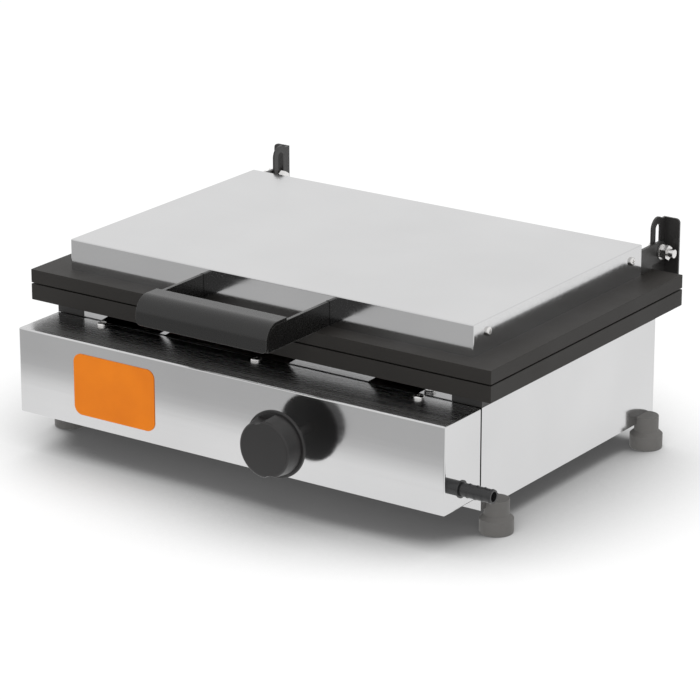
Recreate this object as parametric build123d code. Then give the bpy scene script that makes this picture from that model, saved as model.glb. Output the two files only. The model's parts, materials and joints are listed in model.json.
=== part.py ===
from build123d import *
import os

os.makedirs("parts", exist_ok=True)

# Gas panini press, in millimetres. X is the width, -Y the front, +Z up.
# The origin is on the table, under the centre of the cooking plates.

# Cooking plates
plate_width = 500.0
plate_depth = 325.4
lower_plate_thick = 15.15
upper_plate_thick = 12.55
plate_corner = 0.8
plate_edge = 0.4
lid_gap = 1.3
rest_pad_radius = 7.0
rest_pad_inset = 34.0
rest_pad_gap = 0.1
groove_width = 5.0
groove_depth = 1.6
groove_pitch = 12.0
groove_border = 20.0

# Body of folded sheet
sheet = 1.0
foot_lift = 24.2
body_height = 93.6
side_overhang = 18.4
front_overhang = 15.8
top_flange = 10.0
lip_drop = 0.5
lip_tab_height = 9.2
lip_tab_slant = 13.8
lip_tabs = ((-1.0, -0.918), (-0.583, -0.551), (0.131, 0.552), (0.815, 1.0))
vent_count = 14
vent_width = 6.0
vent_height = 26.0
vent_pitch = 20.0
vent_drop = 18.0

# Black frame between the body and the lower plate
frame_height = 12.4
frame_wall = 1.5
frame_corner = 30.6

# Front control box
box_depth = 55.3
box_height = 80.8
box_gap = 2.0
box_edge = 1.5
hanger_thick = 1.5
hanger_leg = 16.0
hanger_reach = 22.0
box_screw_end = 58.6
box_screw_inset = 6.6
badge_width = 91.0
badge_height = 58.0
badge_thick = 0.8
badge_corner = 8.5
badge_inset = 109.6
dot_radius = 1.6
dot_thick = 0.4
dot_rise = 32.7

# Feet that grip the lower edge of the side sheets
foot_radius = 15.2
foot_top_radius = 11.3
foot_base_height = 13.3
foot_cone_height = 3.7
foot_grip = 6.8
foot_round = 1.5
foot_outset = 4.4
foot_inset = 18.8

# Knob, stem and gas valve
knob_x = 75.0
knob_radius = 25.7
knob_back_radius = 28.0
skirt_radius = 30.5
skirt_thick = 3.0
knob_length = 20.0
knob_stand_off = 23.8
knob_round = 2.5
scoop_radius = 15.0
scoop_depth = 2.6
scoop_angle = 106.0
knob_bore_depth = 13.0
stem_radius = 4.0
push_travel = 4.0
valve_radius = 12.0
valve_length = 33.0
valve_set_back = 5.7
valve_wall = 4.0
plug_radius = 6.0
plug_floor = 2.0
gland_radius = 9.0
gland_thick = 3.5
nipple_radius = 7.0
nipple_reach = 22.0
bracket_plate_thick = 1.5
bracket_plate_width = 30.0

# Burner and its feed
burner_end_gap = 41.6
tube_radius = 16.0
tube_wall = 1.2
tube_inset = 84.9
mixer_radius = 14.0
mixer_reach = 11.0
port_count = 24
port_pitch = 15.0
port_length = 12.0
port_width = 1.6
cradle_inset = 81.6
cradle_thick = 2.0
cradle_foot = 14.0
cradle_margin = 24.0
cradle_rise = 4.0
shield_gap = 11.2
shield_flange = 8.0
shield_slot_count = 6
shield_slot_length = 50.0
shield_slot_width = 8.0
shield_slot_inset = 20.0
shutter_wall = 1.5
shutter_length = 10.0
shutter_hole = 6.0
shutter_window = 2.5
shutter_window_circle = 10.0
elbow_size = 14.0
injector_radius = 5.0
injector_tip = 2.2
injector_length = 12.0
orifice_radius = 0.5
post_width = 10.0
pipe_radius = 4.8
thermo_radius = 1.6
thermo_reach = 64.0

# Hose barb
barb_y_inset = 8.7
barb_z = 62.2
barb_thread_radius = 5.5
barb_neck_radius = 6.6
barb_neck_length = 10.8
barb_ring_radius = 7.9
barb_ring_length = 1.4
barb_radius = 6.0
barb_rib_radius = 6.5
barb_rib_length = 2.0
barb_rib_pitch = 7.6
barb_rib_count = 4
barb_length = 43.7
barb_bore_radius = 4.4
barb_nut_flats = 15.0
barb_nut_thick = 5.0

# Lid cover of folded sheet
cover_height = 29.0
cover_side_inset = 31.0
cover_front_inset = 20.7
cover_rear_inset = 22.0
cover_edge = 1.0
tab_y_inset = 22.4
tab_length = 30.0
rear_screw_inset = 19.1
side_screw_drop = 11.2

# Lid arms and pivot
arm_thick = 3.0
arm_height = 22.5
arm_run = 80.0
arm_end_radius = 9.5
flange_width = 20.0
flange_length = 60.0
flange_thick = 3.0
pivot_back = 14.6
pivot_rise = 13.0
pivot_travel = 21.5
bolt_radius = 4.0
bolt_head_flats = 13.0
bolt_head_thick = 5.3
washer_radius = 7.5
washer_thick = 1.5
nut_flats = 12.4
nut_thick = 6.6
bolt_end = 6.0

# Hinge brackets
bracket_thick = 2.0
bracket_front = 10.6
bracket_back = 14.7
bracket_width = 17.0
bracket_rear_top = 29.5
bracket_rear_bottom = -52.0
bracket_corner = 4.0
bracket_flange_top = 4.6
bracket_flange_height = 40.6
bracket_screw_pitch = 15.0

# Handle
handle_half = 70.0
handle_reach = 94.2
handle_arm_thick = 3.0
handle_top = 25.8
handle_lift = 0.4
grip_overlap = 0.5
grip_thick = 3.0
grip_depth = 30.2
grip_round = 16.0
grip_corner = 5.0
grip_edge = 0.4
handle_foot_length = 24.0
handle_foot_width = 20.0
handle_slot_rise = 0.4

# Screws: head radius, head height, shank radius
small_screw = (4.0, 2.5, 2.0)
box_screw = (5.1, 2.7, 2.0)
flange_screw = (4.5, 2.8, 2.5)
large_screw = (5.5, 3.4, 3.0)
screw_hole_gap = 0.15
screw_length = 8.0
plate_angle_leg = 22.0
plate_angle_drop = 9.0
plate_angle_length = 30.0
plate_angle_inset = 51.9

# Clearances
run_gap = 0.05
slip_gap = 0.3
side_gap = 0.5
hole_gap = 1.5
cut = 1.0

# Heights and faces that follow from the sizes above
body_x = plate_width / 2 - side_overhang
body_y = plate_depth / 2 - front_overhang
body_top = foot_lift + body_height
plate_bottom = body_top + frame_height
lower_top = plate_bottom + lower_plate_thick
upper_bottom = lower_top + lid_gap
upper_top = upper_bottom + upper_plate_thick
box_x = body_x
box_rear = -body_y - box_gap
box_front = box_rear - box_depth
box_top = body_top
box_bottom = box_top - box_height
lip_top = box_top - lip_drop
lip_x = body_x - frame_corner
box_screw_x = box_x - box_screw_end
plate_angle_y = body_y - plate_angle_inset
angle_wall = body_x - frame_wall
burner_half = body_x - burner_end_gap
tube_y = body_y - tube_inset
cradle_x = body_x - cradle_inset
shield_slot_y = body_y - shield_slot_inset
knob_z = (box_top + box_bottom) / 2
valve_front = box_front + sheet + valve_set_back
valve_rear = valve_front + valve_length
valve_port_y = valve_front + valve_length * 0.55
plug_end = valve_rear - valve_wall
plug_rear = plug_end - slip_gap
plug_front = valve_front + slip_gap
stem_end = plug_rear - plug_floor - push_travel - side_gap
shield_z = knob_z - tube_radius - shield_gap
badge_x = -box_x + badge_inset
mixer_front = -body_y - mixer_reach
cover_x = plate_width / 2 - cover_side_inset
cover_front = -plate_depth / 2 + cover_front_inset
cover_rear = plate_depth / 2 - cover_rear_inset
cover_top = upper_top + cover_height
arm_outer = cover_x - sheet
arm_inner = arm_outer - arm_thick
arm_top = upper_top + arm_height
pivot_y = plate_depth / 2 + pivot_back
pivot_z = upper_top + pivot_rise
bracket_outer = arm_inner - side_gap
bracket_inner = bracket_outer - bracket_thick
bracket_edge = bracket_inner + bracket_width
bracket_rear = pivot_y + bracket_back
handle_front = cover_front - handle_reach
handle_z = upper_top + handle_top
side_screw_z = cover_top - side_screw_drop
barb_y = box_front + barb_y_inset
foot_top = foot_lift + foot_grip


def span(side, near, far):
    return tuple(sorted((side * near, side * far)))


def block(x, y, z):
    size = Box(x[1] - x[0], y[1] - y[0], z[1] - z[0])
    return Pos(sum(x) / 2, sum(y) / 2, sum(z) / 2) * size


def rod_x(radius, x, y, z):
    return Pos(sum(x) / 2, y, z) * Rot(0, 90, 0) * Cylinder(radius, x[1] - x[0])


def rod_y(radius, x, y, z):
    return Pos(x, sum(y) / 2, z) * Rot(90, 0, 0) * Cylinder(radius, y[1] - y[0])


def rod_z(radius, x, y, z):
    return Pos(x, y, sum(z) / 2) * Cylinder(radius, z[1] - z[0])


def hex_x(flats, x, y, z):
    outline = extrude(RegularPolygon(flats / 2, 6, major_radius=False), x[1] - x[0])
    return Pos(x[0], y, z) * Rot(0, 90, 0) * outline


def join(shapes):
    total = shapes[0]
    for shape in shapes[1:]:
        total += shape
    return total


def spread(count, pitch):
    return [(i - (count - 1) / 2) * pitch for i in range(count)]


def pan_screw(kind, length):
    head_radius, head_height, shank_radius = kind
    head = rod_z(head_radius, 0, 0, (0, head_height))
    head = fillet(head.edges().sort_by(Axis.Z)[-1], head_height * 0.6)
    recess_arm = head_radius * 0.55
    recess_half = head_radius * 0.11
    recess_z = (head_height * 0.6, head_height + cut)
    head -= block((-recess_arm, recess_arm), (-recess_half, recess_half), recess_z)
    head -= block((-recess_half, recess_half), (-recess_arm, recess_arm), recess_z)
    return head + rod_z(shank_radius, 0, 0, (-length, 0))


# Plates
def rounded_plate(z):
    plate = block((-plate_width / 2, plate_width / 2), (-plate_depth / 2, plate_depth / 2), z)
    plate = fillet(plate.edges().filter_by(Axis.Z), plate_corner)
    faces = plate.faces().sort_by(Axis.Z)
    return fillet([*faces[0].edges(), *faces[-1].edges()], plate_edge)


def plate_screw_spots():
    x = angle_wall - (plate_angle_leg + hanger_thick) / 2
    return [(sx * x, sy * plate_angle_y) for sx in (-1, 1) for sy in (-1, 1)]


def make_lower_plate():
    plate = rounded_plate((plate_bottom, lower_top))
    pad_z = (lower_top - cut, upper_bottom - rest_pad_gap)
    for sx in (-1, 1):
        for sy in (-1, 1):
            x = sx * (plate_width / 2 - rest_pad_inset)
            y = sy * (plate_depth / 2 - rest_pad_inset)
            plate += rod_z(rest_pad_radius, x, y, pad_z)
    hole = large_screw[2] + screw_hole_gap
    for x, y in plate_screw_spots():
        plate -= rod_z(hole, x, y, (plate_bottom - cut, plate_bottom + screw_length))
    return plate


def flange_screw_spots():
    spots = []
    for side in (-1, 1):
        x = side * (arm_inner - flange_width * 0.55)
        arm_y = cover_rear - sheet - arm_run
        spots += [(x, arm_y + flange_length * 0.25), (x, arm_y + flange_length * 0.75)]
        spots.append((x, cover_front + tab_y_inset))
        hx = side * (handle_half - handle_arm_thick - handle_foot_width * 0.55)
        hy = cover_front + sheet + handle_foot_length
        spots += [(hx, hy - handle_foot_length * 0.25), (hx, hy - handle_foot_length * 0.75)]
    return spots


def make_upper_plate():
    plate = rounded_plate((upper_bottom, upper_top))
    usable = plate_width - 2 * groove_border
    groove_y = (-plate_depth / 2 + groove_border, plate_depth / 2 - groove_border)
    groove_z = (upper_bottom - cut, upper_bottom + groove_depth)
    for x in spread(int(usable // groove_pitch), groove_pitch):
        plate -= block((x - groove_width / 2, x + groove_width / 2), groove_y, groove_z)
    hole = flange_screw[2] + screw_hole_gap
    for x, y in flange_screw_spots():
        plate -= rod_z(hole, x, y, (upper_top - screw_length + flange_thick, upper_top + cut))
    return plate


# Body
def lip_tab(low, high):
    base = lip_top - cut
    rise = lip_tab_height / (lip_tab_height + cut)
    top = lip_top + lip_tab_height
    near = low * lip_x
    far = high * lip_x
    slant = lip_tab_slant / rise
    corners = [(near, base), (far, base), (far + slant, top), (near + slant, top)]
    if low == -1.0:
        corners[3] = (near, top)
    if high == 1.0:
        corners[2] = (far, top)
    outline = Plane.XZ.offset(body_y) * make_face(Polyline(*corners, close=True))
    return extrude(outline, sheet, dir=(0, 1, 0))


def make_body_shell():
    front = (-body_y, -body_y + sheet)
    shell = block((-body_x, body_x), front, (foot_lift, lip_top))
    flange_z = (body_top - sheet, body_top)
    for side in (-1, 1):
        shell += block(span(side, body_x - sheet, body_x), (-body_y, body_y), (foot_lift, body_top))
        shell += block(span(side, lip_x, body_x), front, (lip_top, body_top))
        shell += block(span(side, body_x - top_flange, body_x), (-body_y, body_y - sheet), flange_z)
    for low, high in lip_tabs:
        shell += lip_tab(low, high)
    through = (-body_y - cut, -body_y + sheet + cut)
    shell -= rod_y(mixer_radius + slip_gap, 0, through, knob_z)
    shell -= rod_y(thermo_radius + slip_gap, knob_x, through, knob_z)
    return shell


def make_plate_frame():
    x = body_x - frame_wall
    z = (body_top, plate_bottom)
    flange_z = (body_top, body_top + frame_wall)
    frame = block((-body_x, body_x), (body_y - frame_wall, body_y), z)
    for side in (-1, 1):
        frame += block(span(side, x, body_x), (-body_y, body_y), z)
        frame += block(span(side, lip_x, body_x), (-body_y, -body_y + frame_wall), z)
        frame += block(span(side, body_x - top_flange, body_x), (-body_y, body_y), flange_z)
    return frame


def bracket_screw_spots(side):
    x = side * (bracket_inner + bracket_width * 0.6)
    middle = plate_bottom - bracket_flange_top - bracket_flange_height / 2
    return [(x, middle + dz) for dz in spread(2, bracket_screw_pitch)]


def make_rear_wall():
    rear = (body_y - sheet, body_y)
    wall = block((-body_x + sheet, body_x - sheet), rear, (foot_lift, body_top))
    vent_z = (body_top - vent_drop - vent_height, body_top - vent_drop)
    through = (body_y - sheet - cut, body_y + cut)
    for x in spread(vent_count, vent_pitch):
        wall -= block((x - vent_width / 2, x + vent_width / 2), through, vent_z)
    for side in (-1, 1):
        for x, z in bracket_screw_spots(side):
            wall -= rod_y(large_screw[2] + screw_hole_gap, x, through, z)
    return wall


def make_heat_shield():
    x = body_x - sheet
    y = body_y - sheet
    tray = block((-x, x), (-y, y), (shield_z, shield_z + sheet))
    for side in (-1, 1):
        tray += block(span(side, x - sheet, x), (-y, y), (shield_z - shield_flange, shield_z + sheet))
    slot_y = (-shield_slot_y, -shield_slot_y + shield_slot_width)
    for mid in spread(shield_slot_count, shield_slot_length * 1.4):
        slot_x = (mid - shield_slot_length / 2, mid + shield_slot_length / 2)
        tray -= block(slot_x, slot_y, (shield_z - cut, shield_z + sheet + cut))
    return tray


def make_plate_angles():
    angles = []
    for sx in (-1, 1):
        for sy in (-1, 1):
            y = (sy * plate_angle_y - plate_angle_length / 2, sy * plate_angle_y + plate_angle_length / 2)
            wall = span(sx, angle_wall - hanger_thick, angle_wall)
            shelf = span(sx, angle_wall - plate_angle_leg, angle_wall)
            angle = block(wall, y, (plate_bottom - plate_angle_drop, plate_bottom))
            angle += block(shelf, y, (plate_bottom - hanger_thick, plate_bottom))
            angles.append(angle)
    group = join(angles)
    for x, y in plate_screw_spots():
        hole_z = (plate_bottom - plate_angle_drop, plate_bottom + cut)
        group -= rod_z(large_screw[2] + screw_hole_gap, x, y, hole_z)
    return group


def make_plate_screws():
    length = screw_length + hanger_thick - cut
    screws = []
    for x, y in plate_screw_spots():
        place = Pos(x, y, plate_bottom - hanger_thick) * Rot(180, 0, 0)
        screws.append(place * pan_screw(large_screw, length))
    return join(screws)


def make_foot(side, front_back):
    x = side * (body_x + foot_outset)
    y = front_back * (body_y - foot_inset)
    cone_top = foot_base_height + foot_cone_height
    foot = rod_z(foot_radius, 0, 0, (0, foot_base_height))
    cone = Cone(foot_radius, foot_top_radius, foot_cone_height)
    foot += Pos(0, 0, foot_base_height + foot_cone_height / 2) * cone
    foot += rod_z(foot_top_radius, 0, 0, (cone_top, foot_top))
    rims = foot.edges().filter_by(GeomType.CIRCLE).sort_by(Axis.Z)
    foot = fillet(rims[0], foot_round)
    rims = foot.edges().filter_by(GeomType.CIRCLE).sort_by(Axis.Z)
    foot = fillet(rims[-1], foot_round / 2)
    foot = Pos(x, y, 0) * foot
    reach = (y - foot_radius - cut, y + foot_radius + cut)
    return foot - block(span(side, body_x - sheet, body_x), reach, (foot_lift, foot_top + cut))


# Front box
def box_screw_spots():
    y = box_rear - box_screw_inset
    return [(x, y) for x in (-box_screw_x, 0, box_screw_x)]


def make_front_box():
    box = block((-box_x, box_x), (box_front, box_rear), (box_bottom, box_top))
    open_edges = box.faces().sort_by(Axis.Y)[-1].edges()
    folds = [edge for edge in box.edges() if edge not in open_edges]
    box = fillet(folds, box_edge)
    inner_y = (box_front + sheet, box_rear + cut)
    box -= block((-box_x + sheet, box_x - sheet), inner_y, (box_bottom + sheet, box_top - sheet))
    box -= rod_y(stem_radius + hole_gap, knob_x, (box_front - cut, box_front + sheet + cut), knob_z)
    side_hole = (box_x - sheet - cut, box_x + cut)
    box -= rod_x(barb_thread_radius + screw_hole_gap, side_hole, barb_y, barb_z)
    for x, y in box_screw_spots():
        box -= rod_z(box_screw[2] + screw_hole_gap, x, y, (box_top - sheet - cut, box_top + cut))
    return box


def make_box_hanger():
    top = box_top - sheet
    x = (-lip_x, lip_x)
    hanger = block(x, (-body_y - hanger_thick, -body_y), (top - hanger_leg, top))
    hanger += block(x, (-body_y - hanger_reach, -body_y), (top - hanger_thick, top))
    for sx, sy in box_screw_spots():
        hanger -= rod_z(box_screw[2] + screw_hole_gap, sx, sy, (top - hanger_thick - cut, top + cut))
    return hanger


def make_box_screws():
    return join([Pos(x, y, box_top) * pan_screw(box_screw, screw_length) for x, y in box_screw_spots()])


def make_badge():
    z = (knob_z - badge_height / 2, knob_z + badge_height / 2)
    badge = block((badge_x - badge_width / 2, badge_x + badge_width / 2), (box_front - badge_thick, box_front), z)
    return fillet(badge.edges().filter_by(Axis.Y), badge_corner)


def make_index_dot():
    return rod_y(dot_radius, knob_x, (box_front - dot_thick, box_front), knob_z + dot_rise)


# Knob and valve
def make_knob():
    knob = rod_z(skirt_radius, 0, 0, (0, skirt_thick))
    skirt = fillet(knob.edges().filter_by(GeomType.CIRCLE), skirt_thick / 4)
    rise = knob_length - skirt_thick
    body = Pos(0, 0, skirt_thick + rise / 2) * Cone(knob_back_radius, knob_radius, rise)
    body = fillet(body.edges().filter_by(GeomType.CIRCLE).sort_by(Axis.Z)[-1], knob_round)
    scoop = rod_z(scoop_radius, knob_radius + scoop_radius - scoop_depth, 0, (skirt_thick + cut, knob_length + cut))
    for turn in (scoop_angle, scoop_angle + 180):
        body -= Rot(0, 0, turn) * scoop
    knob = skirt + body
    knob -= rod_z(stem_radius + run_gap, 0, 0, (-cut, knob_bore_depth))
    return Pos(knob_x, box_front - knob_stand_off, knob_z) * Rot(90, 0, 0) * knob


def make_stem():
    front = box_front - knob_stand_off - knob_bore_depth + cut
    return rod_y(stem_radius, knob_x, (front, stem_end), knob_z)


def make_plug():
    plug = rod_y(plug_radius, knob_x, (plug_front, plug_rear), knob_z)
    bore = (plug_front - cut, plug_rear - plug_floor)
    return plug - rod_y(stem_radius + run_gap, knob_x, bore, knob_z)


def make_valve_body():
    body = rod_y(valve_radius, knob_x, (valve_front, valve_rear), knob_z)
    ports = (knob_x - nipple_reach, knob_x + nipple_reach)
    body += rod_x(nipple_radius, ports, valve_port_y, knob_z)
    return body - rod_y(plug_radius + run_gap, knob_x, (valve_front - cut, plug_end), knob_z)


def make_gland_nut():
    y = (valve_front - gland_thick, valve_front)
    nut = rod_y(gland_radius, knob_x, y, knob_z)
    return nut - rod_y(stem_radius + slip_gap, knob_x, (y[0] - cut, y[1] + cut), knob_z)


def make_valve_bracket():
    half = bracket_plate_width / 2
    floor = box_bottom + sheet
    y = (valve_rear, valve_rear + bracket_plate_thick)
    bracket = block((knob_x - half, knob_x + half), y, (floor, knob_z + valve_radius))
    foot_y = (valve_rear - half, valve_rear + bracket_plate_thick)
    bracket += block((knob_x - half, knob_x + half), foot_y, (floor, floor + bracket_plate_thick))
    through = (valve_rear - cut, valve_rear + bracket_plate_thick + cut)
    return bracket - rod_y(thermo_radius + screw_hole_gap, knob_x, through, knob_z)


def make_thermocouple():
    return rod_y(thermo_radius, knob_x, (valve_rear, -body_y + thermo_reach), knob_z)


def make_hose_barb():
    ring_start = box_x + barb_neck_length
    end = box_x + barb_length
    barb = rod_x(barb_neck_radius, (box_x, ring_start), barb_y, barb_z)
    barb += rod_x(barb_thread_radius, (box_x - sheet - barb_nut_thick, box_x), barb_y, barb_z)
    barb += rod_x(barb_ring_radius, (ring_start, ring_start + barb_ring_length), barb_y, barb_z)
    barb += rod_x(barb_radius, (ring_start, end), barb_y, barb_z)
    for i in range(barb_rib_count):
        rib_end = end - i * barb_rib_pitch
        rib = Cone(barb_rib_radius, barb_radius, barb_rib_length)
        barb += Pos(rib_end - barb_rib_length / 2, barb_y, barb_z) * Rot(0, 90, 0) * rib
    bore = (box_x - sheet - barb_nut_thick - cut, end + cut)
    return barb - rod_x(barb_bore_radius, bore, barb_y, barb_z)


def make_barb_nut():
    x = (box_x - sheet - barb_nut_thick, box_x - sheet)
    nut = hex_x(barb_nut_flats, x, barb_y, barb_z)
    return nut - rod_x(barb_thread_radius + screw_hole_gap, (x[0] - cut, x[1] + cut), barb_y, barb_z)


def make_supply_pipe():
    start = box_x - sheet - barb_nut_thick
    stop = knob_x + nipple_reach
    length = start - stop
    points = [
        (start, barb_y, barb_z),
        (start - length * 0.45, barb_y, barb_z),
        (start - length * 0.75, valve_port_y, knob_z),
        (stop, valve_port_y, knob_z),
    ]
    path = FilletPolyline(*points, radius=pipe_radius * 4)
    section = Plane(origin=points[0], z_dir=(-1, 0, 0)) * Circle(pipe_radius)
    return sweep(section, path)


def make_elbow():
    half = elbow_size / 2
    centre_y = valve_port_y
    z = (knob_z - half, knob_z + half)
    elbow = block((-half, half), (centre_y - half, centre_y + half), z)
    return fillet(elbow.edges().filter_by(Axis.Z), half / 4)


def make_injector():
    start = valve_port_y + elbow_size / 2
    shank = rod_z(injector_radius, 0, 0, (0, injector_length / 2))
    nose = Cone(injector_radius, injector_tip, injector_length / 2)
    injector = shank + Pos(0, 0, injector_length * 0.75) * nose
    injector -= rod_z(orifice_radius, 0, 0, (-cut, injector_length + cut))
    return Pos(0, start, knob_z) * Rot(-90, 0, 0) * injector


def make_injector_post():
    half = post_width / 2
    y = (valve_port_y - half, valve_port_y + half)
    floor = box_bottom + sheet
    post = block((-half, half), y, (floor, knob_z - elbow_size / 2))
    foot = block((-half * 2, half * 2), y, (floor, floor + bracket_plate_thick))
    return post + foot


def make_burner_pipe():
    return rod_x(pipe_radius, (elbow_size / 2, knob_x - nipple_reach), valve_port_y, knob_z)


# Burner
def make_burner():
    outer = rod_y(mixer_radius, 0, (mixer_front, tube_y), knob_z)
    inner = rod_y(mixer_radius - tube_wall, 0, (mixer_front - cut, tube_y), knob_z)
    for y in (-tube_y, tube_y):
        outer += rod_x(tube_radius, (-burner_half, burner_half), y, knob_z)
        inner += rod_x(tube_radius - tube_wall, (-burner_half + tube_wall, burner_half - tube_wall), y, knob_z)
    burner = outer - inner
    port_z = (knob_z + tube_radius - 2 * tube_wall, knob_z + tube_radius + cut)
    for y in (-tube_y, tube_y):
        for x in spread(port_count, port_pitch):
            port_x = (x - port_width / 2, x + port_width / 2)
            burner -= block(port_x, (y - port_length / 2, y + port_length / 2), port_z)
    return burner


def make_cradle(side):
    floor = shield_z + sheet
    x = span(side, cradle_x, cradle_x + cradle_thick)
    y = (-tube_y - cradle_margin, tube_y + cradle_margin)
    cradle = block(x, y, (floor, knob_z + cradle_rise))
    cradle += block(span(side, cradle_x, cradle_x + cradle_foot), y, (floor, floor + cradle_thick))
    for seat in (-tube_y, tube_y):
        cradle -= rod_x(tube_radius + run_gap, (x[0] - cut, x[1] + cut), seat, knob_z)
        top = (knob_z, knob_z + cradle_rise + cut)
        radius = tube_radius + run_gap
        cradle -= block((x[0] - cut, x[1] + cut), (seat - radius, seat + radius), top)
    return cradle


def make_air_shutter():
    inner = mixer_radius + run_gap
    outer = inner + shutter_wall
    front = mixer_front - shutter_wall
    cup = rod_y(outer, 0, (front, mixer_front + shutter_length), knob_z)
    cup -= rod_y(inner, 0, (mixer_front, mixer_front + shutter_length + cut), knob_z)
    cup -= rod_y(shutter_hole, 0, (front - cut, mixer_front + cut), knob_z)
    for turn in (45, 135, 225, 315):
        window = Rot(0, turn, 0) * Pos(shutter_window_circle, 0, 0)
        hole = Rot(90, 0, 0) * Cylinder(shutter_window, 4 * shutter_wall)
        cup -= Pos(0, front, knob_z) * window * hole
    return cup


# Lid
def make_lid_cover():
    cover = block((-cover_x, cover_x), (cover_front, cover_rear), (upper_top, cover_top))
    base_edges = cover.faces().sort_by(Axis.Z)[0].edges()
    folds = [edge for edge in cover.edges() if edge not in base_edges]
    cover = fillet(folds, cover_edge)
    inner_y = (cover_front + sheet, cover_rear - sheet)
    cover -= block((-cover_x + sheet, cover_x - sheet), inner_y, (upper_top - cut, cover_top - sheet))
    for side in (-1, 1):
        arm_slot = span(side, arm_inner - side_gap, arm_outer)
        cover -= block(arm_slot, (cover_rear - sheet - cut, cover_rear + cut), (upper_top - cut, arm_top + side_gap))
        near = handle_half - handle_arm_thick - slip_gap
        handle_slot = span(side, near, handle_half + slip_gap)
        slot_top = handle_z - grip_thick + handle_slot_rise
        cover -= block(handle_slot, (cover_front - cut, cover_front + sheet + cut), (upper_top - cut, slot_top))
        wall = span(side, cover_x - sheet - cut, cover_x + cut)
        for y in side_screw_ys():
            cover -= rod_x(small_screw[2] + screw_hole_gap, wall, y, side_screw_z)
    return cover


def side_screw_ys():
    return (cover_front + tab_y_inset, cover_rear - rear_screw_inset)


def make_lid_arm(side):
    x = span(side, arm_inner, arm_outer)
    start = cover_rear - sheet - arm_run
    arm = block(x, (start, plate_depth / 2 - cut), (upper_top, arm_top))
    arm += block(x, (cover_rear, pivot_y), (pivot_z - arm_end_radius, pivot_z + arm_end_radius))
    arm += rod_x(arm_end_radius, x, pivot_y, pivot_z)
    flange = span(side, arm_inner - flange_width, arm_inner)
    arm += block(flange, (start, start + flange_length), (upper_top, upper_top + flange_thick))
    through = (x[0] - cut, x[1] + cut)
    arm -= rod_x(bolt_radius + run_gap, through, pivot_y, pivot_z)
    arm -= rod_x(small_screw[2] + screw_hole_gap, through, side_screw_ys()[1], side_screw_z)
    return drill_flange(arm)


def drill_flange(shape):
    hole = flange_screw[2] + screw_hole_gap
    for x, y in flange_screw_spots():
        shape -= rod_z(hole, x, y, (upper_top - cut, upper_top + flange_thick + cut))
    return shape


def make_cover_tabs():
    tabs = []
    y_mid = cover_front + tab_y_inset
    y = (y_mid - tab_length / 2, y_mid + tab_length / 2)
    for side in (-1, 1):
        x = span(side, arm_inner, arm_outer)
        tab = block(x, y, (upper_top, arm_top))
        tab += block(span(side, arm_inner - flange_width, arm_inner), y, (upper_top, upper_top + flange_thick))
        tab -= rod_x(small_screw[2] + screw_hole_gap, (x[0] - cut, x[1] + cut), y_mid, side_screw_z)
        tabs.append(tab)
    return drill_flange(join(tabs))


def make_flange_screws():
    z = upper_top + flange_thick
    length = screw_length - cut
    return join([Pos(x, y, z) * pan_screw(flange_screw, length) for x, y in flange_screw_spots()])


def make_cover_screws():
    screws = []
    for side in (-1, 1):
        for y in side_screw_ys():
            place = Pos(side * cover_x, y, side_screw_z) * Rot(0, side * 90, 0)
            screws.append(place * pan_screw(small_screw, screw_length))
    return join(screws)


def make_handle_arm(side):
    x = span(side, handle_half - handle_arm_thick, handle_half)
    top = handle_z - grip_thick
    arm = block(x, (handle_front + grip_thick, cover_front + sheet), (upper_top + handle_lift, top))
    corner = arm.edges().filter_by(Axis.X).group_by(Axis.Y)[0].sort_by(Axis.Z)[-1]
    arm = fillet(corner, grip_round - grip_thick + handle_lift)
    inside = (cover_front, cover_front + sheet + handle_foot_length)
    arm += block(x, inside, (upper_top, top))
    foot = span(side, handle_half - handle_arm_thick - handle_foot_width, handle_half)
    foot_y = (cover_front + sheet, inside[1])
    arm += block(foot, foot_y, (upper_top, upper_top + flange_thick))
    return drill_flange(arm)


def make_handle_grip():
    x = (-handle_half - grip_overlap, handle_half + grip_overlap)
    y = (handle_front, handle_front + grip_depth)
    bottom = upper_top + handle_lift
    outer = block(x, y, (bottom, handle_z))
    outer = fillet(outer.edges().filter_by(Axis.X).group_by(Axis.Y)[0].sort_by(Axis.Z)[-1], grip_round)
    inner = block((x[0] - cut, x[1] + cut), (y[0] + grip_thick, y[1] + cut), (bottom - cut, handle_z - grip_thick))
    corner = inner.edges().filter_by(Axis.X).group_by(Axis.Y)[0].sort_by(Axis.Z)[-1]
    grip = outer - fillet(corner, grip_round - grip_thick)
    lowest = grip.faces().sort_by(Axis.Z)[0]
    grip = fillet(lowest.edges().filter_by(Axis.Y), grip_corner)
    ends = [*grip.faces().sort_by(Axis.X)[0].edges(), *grip.faces().sort_by(Axis.X)[-1].edges()]
    return fillet(ends, grip_edge)


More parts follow.
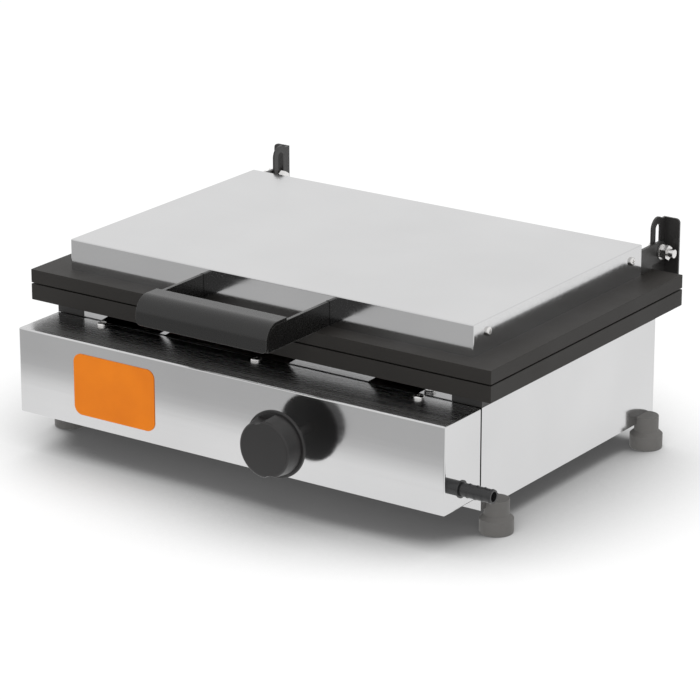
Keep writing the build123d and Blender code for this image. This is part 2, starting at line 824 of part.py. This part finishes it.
# Hinge
def make_hinge_bracket(side):
    x = span(side, bracket_inner, bracket_outer)
    flange_top = plate_bottom - bracket_flange_top
    flange_bottom = flange_top - bracket_flange_height
    front = pivot_y - bracket_front
    round_z = pivot_z + pivot_travel + slip_gap
    rear_leg = (bracket_rear - bracket_thick, bracket_rear)
    rear_z = (pivot_z + bracket_rear_bottom, pivot_z + bracket_rear_top)
    leg = block(x, (front, bracket_rear), (rear_z[0], round_z))
    leg += rod_x(bracket_front, x, pivot_y, round_z)
    leg += block(x, (pivot_y, bracket_rear), (round_z, rear_z[1]))
    web = [(body_y, flange_bottom), (body_y, flange_top), (bracket_rear, flange_top), (bracket_rear, rear_z[0])]
    outline = Plane.YZ.offset(x[0]) * make_face(Polyline(*web, close=True))
    leg += extrude(outline, bracket_thick, dir=(1, 0, 0))
    plate_x = span(side, bracket_inner, bracket_edge)
    back = block(plate_x, rear_leg, rear_z)
    outer_top = back.edges().filter_by(Axis.Y).group_by(Axis.Z)[-1].sort_by(Axis.X)[-1 if side > 0 else 0]
    back = fillet(outer_top, bracket_corner)
    flange = block(plate_x, (body_y, body_y + bracket_thick), (flange_bottom, flange_top))
    bracket = leg + back + flange
    through = (x[0] - cut, x[1] + cut)
    slot_half = bolt_radius + slip_gap
    slot_top = pivot_z + pivot_travel
    bracket -= rod_x(slot_half, through, pivot_y, pivot_z)
    bracket -= rod_x(slot_half, through, pivot_y, slot_top)
    bracket -= block(through, (pivot_y - slot_half, pivot_y + slot_half), (pivot_z, slot_top))
    for sx, sz in bracket_screw_spots(side):
        hole = (body_y - cut, body_y + bracket_thick + cut)
        bracket -= rod_y(large_screw[2] + screw_hole_gap, sx, hole, sz)
    return bracket


def make_bracket_screws():
    screws = []
    for side in (-1, 1):
        for x, z in bracket_screw_spots(side):
            place = Pos(x, body_y + bracket_thick, z) * Rot(-90, 0, 0)
            screws.append(place * pan_screw(large_screw, screw_length))
    return join(screws)


def make_pivot_bolt(side):
    head_x = span(side, bracket_inner - slip_gap - bolt_head_thick, bracket_inner - slip_gap)
    end = arm_outer + slip_gap + washer_thick + nut_thick + bolt_end
    bolt = hex_x(bolt_head_flats, head_x, pivot_y, pivot_z)
    return bolt + rod_x(bolt_radius, span(side, bracket_inner - slip_gap, end), pivot_y, pivot_z)


def make_pivot_washer(side):
    x = span(side, arm_outer + slip_gap, arm_outer + slip_gap + washer_thick)
    washer = rod_x(washer_radius, x, pivot_y, pivot_z)
    return washer - rod_x(bolt_radius + screw_hole_gap, (x[0] - cut, x[1] + cut), pivot_y, pivot_z)


def make_pivot_nut(side):
    start = arm_outer + slip_gap + washer_thick
    x = span(side, start, start + nut_thick)
    nut = hex_x(nut_flats, x, pivot_y, pivot_z)
    return nut - rod_x(bolt_radius + screw_hole_gap, (x[0] - cut, x[1] + cut), pivot_y, pivot_z)


nodes = {
    "lower_plate": make_lower_plate(),
    "body_shell": make_body_shell(),
    "rear_wall": make_rear_wall(),
    "plate_frame": make_plate_frame(),
    "heat_shield": make_heat_shield(),
    "plate_angles": make_plate_angles(),
    "plate_screws": make_plate_screws(),
    "foot_front_left": make_foot(-1, -1),
    "foot_front_right": make_foot(1, -1),
    "foot_rear_left": make_foot(-1, 1),
    "foot_rear_right": make_foot(1, 1),
    "front_box": make_front_box(),
    "box_hanger": make_box_hanger(),
    "box_screws": make_box_screws(),
    "badge": make_badge(),
    "index_dot": make_index_dot(),
    "valve_body": make_valve_body(),
    "gland_nut": make_gland_nut(),
    "valve_bracket": make_valve_bracket(),
    "thermocouple": make_thermocouple(),
    "hose_barb": make_hose_barb(),
    "barb_nut": make_barb_nut(),
    "supply_pipe": make_supply_pipe(),
    "burner_pipe": make_burner_pipe(),
    "injector_elbow": make_elbow(),
    "injector": make_injector(),
    "injector_post": make_injector_post(),
    "air_shutter": make_air_shutter(),
    "burner": make_burner(),
    "cradle_left": make_cradle(-1),
    "cradle_right": make_cradle(1),
    "hinge_bracket_left": make_hinge_bracket(-1),
    "hinge_bracket_right": make_hinge_bracket(1),
    "bracket_screws": make_bracket_screws(),
    "valve_plug": make_plug(),
    "valve_stem": make_stem(),
    "knob": make_knob(),
    "pivot_bolt_left": make_pivot_bolt(-1),
    "pivot_bolt_right": make_pivot_bolt(1),
    "pivot_washer_left": make_pivot_washer(-1),
    "pivot_washer_right": make_pivot_washer(1),
    "pivot_nut_left": make_pivot_nut(-1),
    "pivot_nut_right": make_pivot_nut(1),
    "upper_plate": make_upper_plate(),
    "lid_cover": make_lid_cover(),
    "lid_arm_left": make_lid_arm(-1),
    "lid_arm_right": make_lid_arm(1),
    "cover_tabs": make_cover_tabs(),
    "flange_screws": make_flange_screws(),
    "cover_screws": make_cover_screws(),
    "handle_arm_left": make_handle_arm(-1),
    "handle_arm_right": make_handle_arm(1),
    "handle_grip": make_handle_grip(),
}

for name, shape in nodes.items():
    export_step(shape, f"parts/{name}.step")
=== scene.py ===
"""Looks of a gas panini press: finishes, floor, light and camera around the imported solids."""
import json
import math

import bpy
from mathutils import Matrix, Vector

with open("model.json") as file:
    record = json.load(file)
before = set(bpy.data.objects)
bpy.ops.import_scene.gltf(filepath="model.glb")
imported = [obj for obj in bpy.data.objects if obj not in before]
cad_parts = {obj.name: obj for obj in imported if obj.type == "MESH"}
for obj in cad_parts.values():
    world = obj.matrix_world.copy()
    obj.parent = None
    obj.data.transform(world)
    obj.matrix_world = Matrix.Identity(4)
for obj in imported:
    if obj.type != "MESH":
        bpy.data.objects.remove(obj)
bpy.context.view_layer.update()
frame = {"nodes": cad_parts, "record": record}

nodes = frame["nodes"]

# Camera
CAMERA_TARGET = Vector((-0.0191, 0.0179, 0.0750))
CAMERA_AZIMUTH = 34.73
CAMERA_ELEVATION = 18.86
CAMERA_DISTANCE = 3.2302
CAMERA_LENS = 178.77
CAMERA_CLIP = 50.0
SENSOR = 36.0

# Floor: its own tone, and the tone that it bounces back as soft light
FLOOR_SIZE = 12.0
FLOOR_ROUGH = 0.9
FLOOR_TONE = 0.16
FLOOR_BOUNCE = 0.80

# Floor as mirrored in the steel: a painted reflection gradient between two distances in front
# of the origin
FLOOR_NEAR = 0.338
FLOOR_FAR = 0.404
MIRRORED_FAR = 0.46
MIRRORED_NEAR = 0.95

# Floor as the camera sees it: a painted shadow, darker where the object closes it in
SHADE_REACH = 0.45
SHADE_SAMPLES = 32
SHADE_START = 0.26
SHADE_END = 0.87
SHADE_DARK = 0.05
SHADE_LIGHT = 0.90

# World: its strength as soft light, and as seen or mirrored
WORLD_SOFT = 0.55
WORLD_SEEN = 1.0

# Lamps
LAMP_TARGET = Vector((0, 0, 0.1))

# Finishes: the usual range of a noise, and the depths of the relief in metres
NOISE_LOW = 0.3
NOISE_HIGH = 0.7
ROLLED_STRETCH = (4.0, 260.0, 260.0)
ROLLED_DEPTH = 0.0004
SKIN_DEPTH = 0.0003
HEAT_STRETCH = (0.4, 1, 1)
HEAT_DEPTH = 0.0004
HEAT_DARK = (0.20, 0.17, 0.15)
HEAT_PALE = (0.36, 0.33, 0.31)

# Front box: its top is rougher than its sides
BOX_TOP = 0.1177
SATIN_BLEND = 0.0006
SATIN_EXTRA = 0.14

# Painted highlight on edges: how far in it reaches, and at how much turn of the surface it is
# full or gone
EDGE_REACH = 0.0011
EDGE_SAMPLES = 6
EDGE_HIGHLIGHT_FULL = 0.80
EDGE_HIGHLIGHT_NONE = 0.97


# Node helpers
class Tree:
    """A material's node tree, with one short call per node."""

    def __init__(self, name):
        self.material = bpy.data.materials.new(name)
        self.material.use_nodes = True
        self.nodes = self.material.node_tree.nodes
        self.links = self.material.node_tree.links
        self.shader = self.nodes["Principled BSDF"]
        self.output = self.nodes["Material Output"]
        self.place = self.add("ShaderNodeTexCoord").outputs["Object"]

    def add(self, kind, **settings):
        node = self.nodes.new(kind)
        for key, value in settings.items():
            setattr(node, key, value)
        return node

    def link(self, source, target):
        self.links.new(source, target)

    def feed(self, source, socket):
        """Link a value to a socket of the shader."""
        self.link(source, self.shader.inputs[socket])

    def set(self, **values):
        """Set constants on the shader's own sockets."""
        for key, value in values.items():
            self.shader.inputs[key.replace("_", " ")].default_value = value

    def along(self, axis):
        """The place along one axis: X, Y or Z."""
        split = self.add("ShaderNodeSeparateXYZ")
        self.link(self.place, split.inputs["Vector"])
        return split.outputs[axis]

    def noise(self, scale, detail, stretch=(1, 1, 1)):
        mapping = self.add("ShaderNodeMapping")
        mapping.inputs["Scale"].default_value = stretch
        self.link(self.place, mapping.inputs["Vector"])
        node = self.add("ShaderNodeTexNoise")
        node.inputs["Scale"].default_value = scale
        node.inputs["Detail"].default_value = detail
        self.link(mapping.outputs["Vector"], node.inputs["Vector"])
        return node.outputs["Fac"]

    def maths(self, operation, first, second):
        node = self.add("ShaderNodeMath", operation=operation)
        self.link(first, node.inputs[0])
        self.link(second, node.inputs[1])
        return node.outputs[0]

    def ramp(self, value, low, high, start=NOISE_LOW, end=NOISE_HIGH, smooth=False):
        """Low at start to high at end, by default over the usual range of a noise."""
        node = self.add("ShaderNodeMapRange")
        node.interpolation_type = "SMOOTHSTEP" if smooth else "LINEAR"
        node.inputs["From Min"].default_value = start
        node.inputs["From Max"].default_value = end
        node.inputs["To Min"].default_value = low
        node.inputs["To Max"].default_value = high
        self.link(value, node.inputs["Value"])
        return node.outputs["Result"]

    def mixed(self, factor, first, second):
        node = self.add("ShaderNodeMix", data_type="RGBA")
        self.link(factor, node.inputs["Factor"])
        node.inputs["A"].default_value = (*first, 1.0)
        node.inputs["B"].default_value = (*second, 1.0)
        return node.outputs["Result"]

    def patches(self, cloud, base, spread):
        """Two close tones of one colour, darker and lighter, in soft patches."""
        darker = [c * (1 - spread) for c in base]
        lighter = [min(1.0, c * (1 + spread)) for c in base]
        return self.mixed(self.ramp(cloud, 0, 1), darker, lighter)

    def edges(self, tone, highlight_tone):
        """Painted highlight: blend to a paler tone where the surface turns within the edge
        reach.
        """
        rounded = self.add("ShaderNodeBevel", samples=EDGE_SAMPLES)
        rounded.inputs["Radius"].default_value = EDGE_REACH
        flat = self.add("ShaderNodeNewGeometry")
        turn = self.add("ShaderNodeVectorMath", operation="DOT_PRODUCT")
        self.link(rounded.outputs["Normal"], turn.inputs[0])
        self.link(flat.outputs["Normal"], turn.inputs[1])
        mask = self.ramp(turn.outputs["Value"], 1.0, 0.0, EDGE_HIGHLIGHT_FULL, EDGE_HIGHLIGHT_NONE)
        blend = self.add("ShaderNodeMix", data_type="RGBA")
        self.link(mask, blend.inputs["Factor"])
        self.link(tone, blend.inputs["A"])
        blend.inputs["B"].default_value = (*highlight_tone, 1.0)
        return blend.outputs["Result"]

    def bump(self, height, strength, depth):
        node = self.add("ShaderNodeBump")
        node.inputs["Strength"].default_value = strength
        node.inputs["Distance"].default_value = depth
        self.link(height, node.inputs["Height"])
        self.feed(node.outputs["Normal"], "Normal")


def sheet_steel(name, base, rough, spread=0.03, satin_above=None):
    """Sheet metal with faint rolling marks along X, and a satin top where asked for."""
    tree = Tree(name)
    marks = tree.noise(scale=1.0, detail=4.0, stretch=ROLLED_STRETCH)
    cloud = tree.noise(scale=9.0, detail=2.0)
    tree.feed(tree.patches(cloud, base, spread), "Base Color")
    sheen = tree.ramp(marks, rough * 0.8, rough * 1.25)
    if satin_above is not None:
        satin = tree.ramp(tree.along("Z"), 0.0, SATIN_EXTRA,
                          satin_above - SATIN_BLEND, satin_above)
        sheen = tree.maths("ADD", sheen, satin)
    tree.feed(sheen, "Roughness")
    tree.bump(marks, strength=0.02, depth=ROLLED_DEPTH)
    tree.set(Metallic=1.0)
    return tree.material


def cast_coating(name, base, rough):
    """Dark coated casting: fine grain, slight patches."""
    tree = Tree(name)
    grain = tree.noise(scale=900.0, detail=3.0)
    cloud = tree.noise(scale=14.0, detail=4.0)
    tree.feed(tree.patches(cloud, base, 0.12), "Base Color")
    tree.feed(tree.ramp(cloud, rough * 0.9, rough * 1.15), "Roughness")
    tree.bump(grain, strength=0.12, depth=SKIN_DEPTH)
    tree.set(IOR=1.33)
    return tree.material


def moulded(name, base, rough, bump=0.1, ior=1.5):
    """Moulded plastic or rubber with a fine spark-eroded skin."""
    tree = Tree(name)
    skin = tree.noise(scale=700.0, detail=2.0)
    cloud = tree.noise(scale=25.0, detail=3.0)
    tree.feed(tree.patches(cloud, base, 0.08), "Base Color")
    tree.feed(tree.ramp(skin, rough * 0.88, rough * 1.12), "Roughness")
    tree.bump(skin, strength=bump, depth=SKIN_DEPTH)
    tree.set(IOR=ior)
    return tree.material


def painted(name, base, rough, highlight_tone=None):
    """Powder coat: orange-peel skin, with a painted highlight on the edges where asked for."""
    tree = Tree(name)
    peel = tree.noise(scale=420.0, detail=2.0)
    cloud = tree.noise(scale=18.0, detail=3.0)
    tone = tree.patches(cloud, base, 0.1)
    # A painted highlight along the edges, where a tone for it is given
    if highlight_tone is not None:
        tone = tree.edges(tone, highlight_tone)
    tree.feed(tone, "Base Color")
    tree.feed(tree.ramp(peel, rough * 0.9, rough * 1.1), "Roughness")
    tree.bump(peel, strength=0.05, depth=SKIN_DEPTH)
    return tree.material


def burner_metal(name):
    """Steel tube with heat tints in bands."""
    tree = Tree(name)
    heat = tree.noise(scale=16.0, detail=5.0, stretch=HEAT_STRETCH)
    bands = tree.ramp(heat, 0, 1, start=0.35, end=0.65)
    tree.feed(tree.mixed(bands, HEAT_DARK, HEAT_PALE), "Base Color")
    tree.feed(tree.ramp(heat, 0.3, 0.5), "Roughness")
    tree.bump(heat, strength=0.1, depth=HEAT_DEPTH)
    tree.set(Metallic=1.0)
    return tree.material


POLISHED = (0.605, 0.605, 0.608)
FINISHES = {
    "polished_steel": sheet_steel("polished_steel", POLISHED, 0.12),
    "box_steel": sheet_steel("box_steel", POLISHED, 0.12, satin_above=BOX_TOP),
    "dull_steel": sheet_steel("dull_steel", (0.30, 0.30, 0.30), 0.42, spread=0.1),
    "frame_black": painted("frame_black", (0.028, 0.027, 0.026), 0.42),
    "screw_steel": sheet_steel("screw_steel", (0.72, 0.71, 0.70), 0.22, spread=0.05),
    "burner_steel": burner_metal("burner_steel"),
    "valve_brass": sheet_steel("valve_brass", (0.62, 0.44, 0.18), 0.3, spread=0.08),
    "copper_probe": sheet_steel("copper_tube", (0.60, 0.30, 0.18), 0.3, spread=0.1),
    "plate_coat": cast_coating("plate_coat", (0.024, 0.022, 0.020), 0.5),
    "foot_rubber": moulded("foot_rubber", (0.155, 0.15, 0.143), 0.6),
    "knob_plastic": moulded("knob_plastic", (0.017, 0.016, 0.016), 0.40, bump=0.06),
    "black_barb": moulded("barb_black", (0.016, 0.016, 0.017), 0.35, bump=0.05),
    # The handle's paler rims are a painted highlight
    "handle_black": painted("handle_black", (0.007, 0.0067, 0.0065), 0.27,
                            highlight_tone=(0.13, 0.13, 0.125)),
    "orange_badge": moulded("orange_badge", (0.98, 0.245, 0.008), 0.45, bump=0.02, ior=1.3),
    "black_mark": moulded("black_mark", (0.006, 0.006, 0.006), 0.5),
}

# Each piece gets its slot's finish, and the front box the one with the satin top
for part in frame["record"]["subparts"]:
    finish = "box_steel" if part["node"] == "front_box" else part["material_slot"]
    mesh = nodes[part["node"]].data
    mesh.materials.clear()
    mesh.materials.append(FINISHES[finish])


def floor_material():
    """Floor with a painted shadow near the object for the camera, and a painted gradient in
    reflections.
    """
    tree = Tree("studio_floor")
    tree.set(Roughness=FLOOR_ROUGH, Specular_IOR_Level=0.0)
    path = tree.add("ShaderNodeLightPath")
    tone = tree.mixed(path.outputs["Is Diffuse Ray"], (FLOOR_TONE,) * 3, (FLOOR_BOUNCE,) * 3)
    tree.feed(tone, "Base Color")
    # Painted reflection: the floor glows brighter near the object only in the steel's
    # reflections
    painted_reflection_gradient = tree.ramp(tree.along("Y"), MIRRORED_FAR, MIRRORED_NEAR,
                     -FLOOR_FAR, -FLOOR_NEAR, smooth=True)
    # Painted shadow: the floor's glow for the camera drops where the object closes it in
    openness = tree.add("ShaderNodeAmbientOcclusion", samples=SHADE_SAMPLES)
    openness.inputs["Distance"].default_value = SHADE_REACH
    shade = tree.ramp(openness.outputs["AO"], SHADE_DARK, SHADE_LIGHT, SHADE_START, SHADE_END)
    seen = tree.maths("MULTIPLY", path.outputs["Is Camera Ray"], shade)
    mirrored = tree.maths("MULTIPLY", path.outputs["Is Glossy Ray"], painted_reflection_gradient)
    painted_glow = tree.add("ShaderNodeEmission")
    tree.link(tree.maths("ADD", seen, mirrored), painted_glow.inputs["Strength"])
    total = tree.add("ShaderNodeAddShader")
    tree.link(tree.shader.outputs[0], total.inputs[0])
    tree.link(painted_glow.outputs[0], total.inputs[1])
    tree.link(total.outputs[0], tree.output.inputs["Surface"])
    return tree.material


bpy.ops.mesh.primitive_plane_add(size=FLOOR_SIZE, location=(0, 0, 0))
floor = bpy.context.object
floor.name = "floor"
floor.data.materials.append(floor_material())


def make_world():
    """Soft even light, and plain white behind the object and in its reflections."""
    world = bpy.data.worlds.new("studio")
    bpy.context.scene.world = world
    world.use_nodes = True
    tree_nodes = world.node_tree.nodes
    links = world.node_tree.links
    background = tree_nodes["Background"]
    path = tree_nodes.new("ShaderNodeLightPath")
    seen = tree_nodes.new("ShaderNodeMath")
    seen.operation = "MAXIMUM"
    links.new(path.outputs["Is Camera Ray"], seen.inputs[0])
    links.new(path.outputs["Is Glossy Ray"], seen.inputs[1])
    level = tree_nodes.new("ShaderNodeMapRange")
    level.inputs["To Min"].default_value = WORLD_SOFT
    level.inputs["To Max"].default_value = WORLD_SEEN
    links.new(seen.outputs[0], level.inputs["Value"])
    links.new(level.outputs["Result"], background.inputs["Strength"])
    background.inputs["Color"].default_value = (1, 1, 1, 1)


def area_light(name, place, size, power):
    """A round lamp that lights the object and stays out of its reflections."""
    data = bpy.data.lights.new(name, "AREA")
    data.shape = "DISK"
    data.size = size
    data.energy = power
    lamp = bpy.data.objects.new(name, data)
    bpy.context.scene.collection.objects.link(lamp)
    lamp.location = place
    lamp.rotation_euler = (LAMP_TARGET - Vector(place)).to_track_quat("-Z", "Y").to_euler()
    lamp.visible_glossy = False


def make_camera():
    data = bpy.data.cameras.new("camera")
    data.lens = CAMERA_LENS
    data.sensor_width = SENSOR
    data.clip_end = CAMERA_CLIP
    camera = bpy.data.objects.new("camera", data)
    bpy.context.scene.collection.objects.link(camera)
    azimuth = math.radians(CAMERA_AZIMUTH)
    elevation = math.radians(CAMERA_ELEVATION)
    offset = Vector((math.sin(azimuth) * math.cos(elevation),
                     -math.cos(azimuth) * math.cos(elevation),
                     math.sin(elevation)))
    camera.location = CAMERA_TARGET + CAMERA_DISTANCE * offset
    camera.rotation_euler = (-offset).to_track_quat("-Z", "Y").to_euler()
    bpy.context.scene.camera = camera


make_world()
area_light("key", place=(-1.2, 0.6, 2.6), size=1.6, power=22.0)
area_light("fill", place=(1.8, -2.4, 2.0), size=2.2, power=35.0)
make_camera()
bpy.context.scene.view_settings.view_transform = "Standard"
